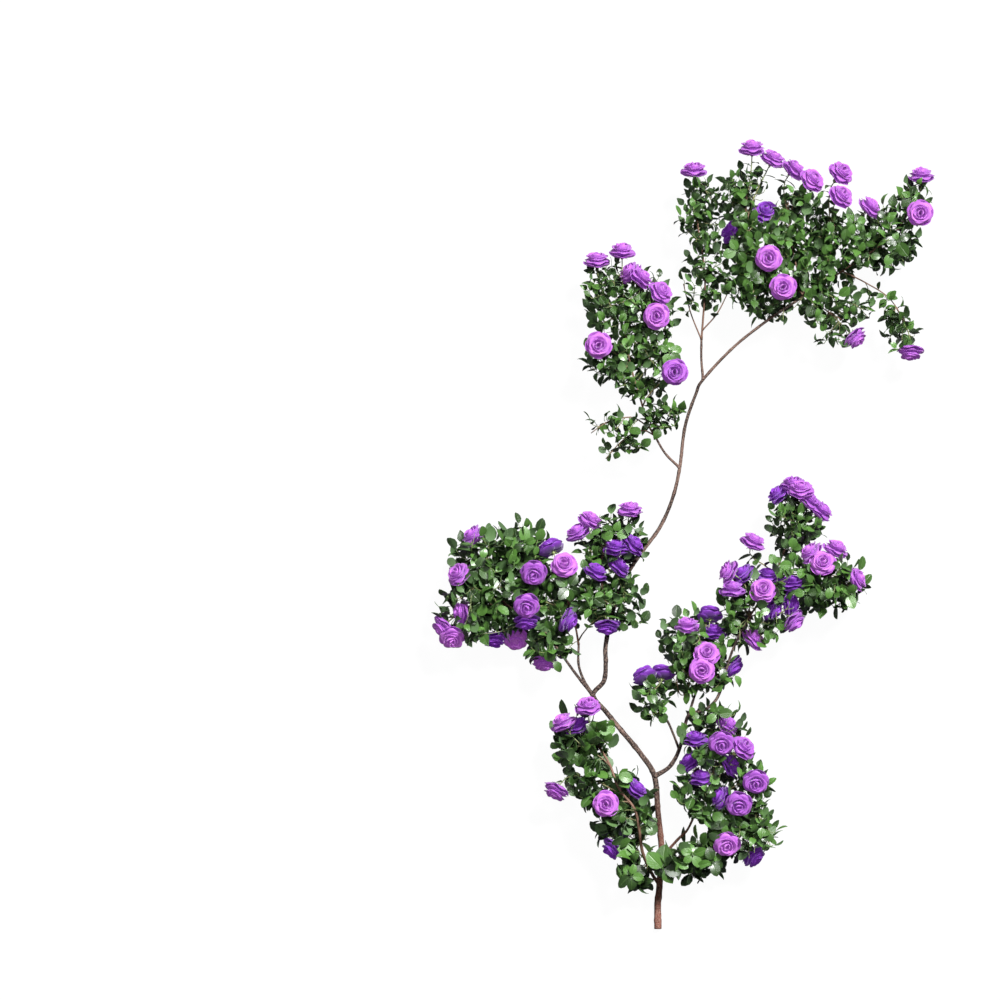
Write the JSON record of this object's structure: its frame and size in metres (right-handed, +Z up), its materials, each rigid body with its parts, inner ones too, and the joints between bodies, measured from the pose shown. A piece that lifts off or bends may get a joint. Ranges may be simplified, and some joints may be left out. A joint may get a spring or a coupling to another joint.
{
  "type": "climbing rose",
  "caption": "Cut climbing rose lying on its back: forked woody canes, leafy sprays of broad pointed leaves and violet double roses on thin shoots.",
  "frame": {"origin": "on the surface the plant lies on, under the middle of its bounding box", "axes": "+X across the plant, +Y from the cut foot to the tips, +Z up from the surface"},
  "size_m": [1.3987, 2.1921, 0.2473],
  "materials": {
    "bark": "matt reddish brown bark",
    "leaf": "glossy dark green",
    "petal": "satin violet"
  },
  "bodies": {
    "root": {"canes": "bark", "bloom_lower_left_1": "petal", "bloom_lower_left_2": "petal", "bloom_lower_left_3": "petal", "bloom_lower_left_4": "petal", "bloom_lower_left_5": "petal", "bloom_low_right_1": "petal", "bloom_low_right_2": "petal", "bloom_lower_right_1": "petal", "bloom_lower_right_2": "petal", "bloom_middle_tuft_1": "petal", "bloom_right_middle_1": "petal", "bloom_right_middle_2": "petal", "bloom_right_upper_1": "petal", "bloom_right_upper_2": "petal", "bloom_right_upper_3": "petal", "bloom_right_upper_4": "petal", "bloom_right_upper_5": "petal", "bloom_right_upper_6": "petal", "bloom_centre_left_1": "petal", "bloom_centre_left_2": "petal", "bloom_centre_left_3": "petal", "bloom_centre_left_4": "petal", "bloom_centre_left_5": "petal", "bloom_centre_1": "petal", "bloom_centre_2": "petal", "bloom_centre_3": "petal", "bloom_centre_4": "petal", "bloom_centre_5": "petal", "bloom_centre_right_1": "petal", "bloom_centre_right_2": "petal", "bloom_centre_right_3": "petal", "bloom_tall_left_1": "petal", "bloom_tall_left_2": "petal", "bloom_tall_left_3": "petal", "bloom_tall_left_4": "petal", "bloom_crown_left_1": "petal", "bloom_crown_1": "petal", "bloom_crown_2": "petal", "bloom_crown_3": "petal", "bloom_crown_4": "petal", "bloom_crown_5": "petal", "bloom_crown_6": "petal", "bloom_crown_7": "petal", "bloom_crown_8": "petal", "bloom_crown_9": "petal", "bloom_crown_10": "petal", "bloom_crown_11": "petal", "spray_lower_left": "leaf", "spray_low_right": "leaf", "spray_lower_right": "leaf", "spray_middle_tuft": "leaf", "spray_right_middle": "leaf", "spray_right_upper": "leaf", "spray_centre_left": "leaf", "spray_centre": "leaf", "spray_centre_right": "leaf", "spray_tall_left": "leaf", "spray_crown_left": "leaf", "spray_crown": "leaf"}
  },
  "joints": []
}
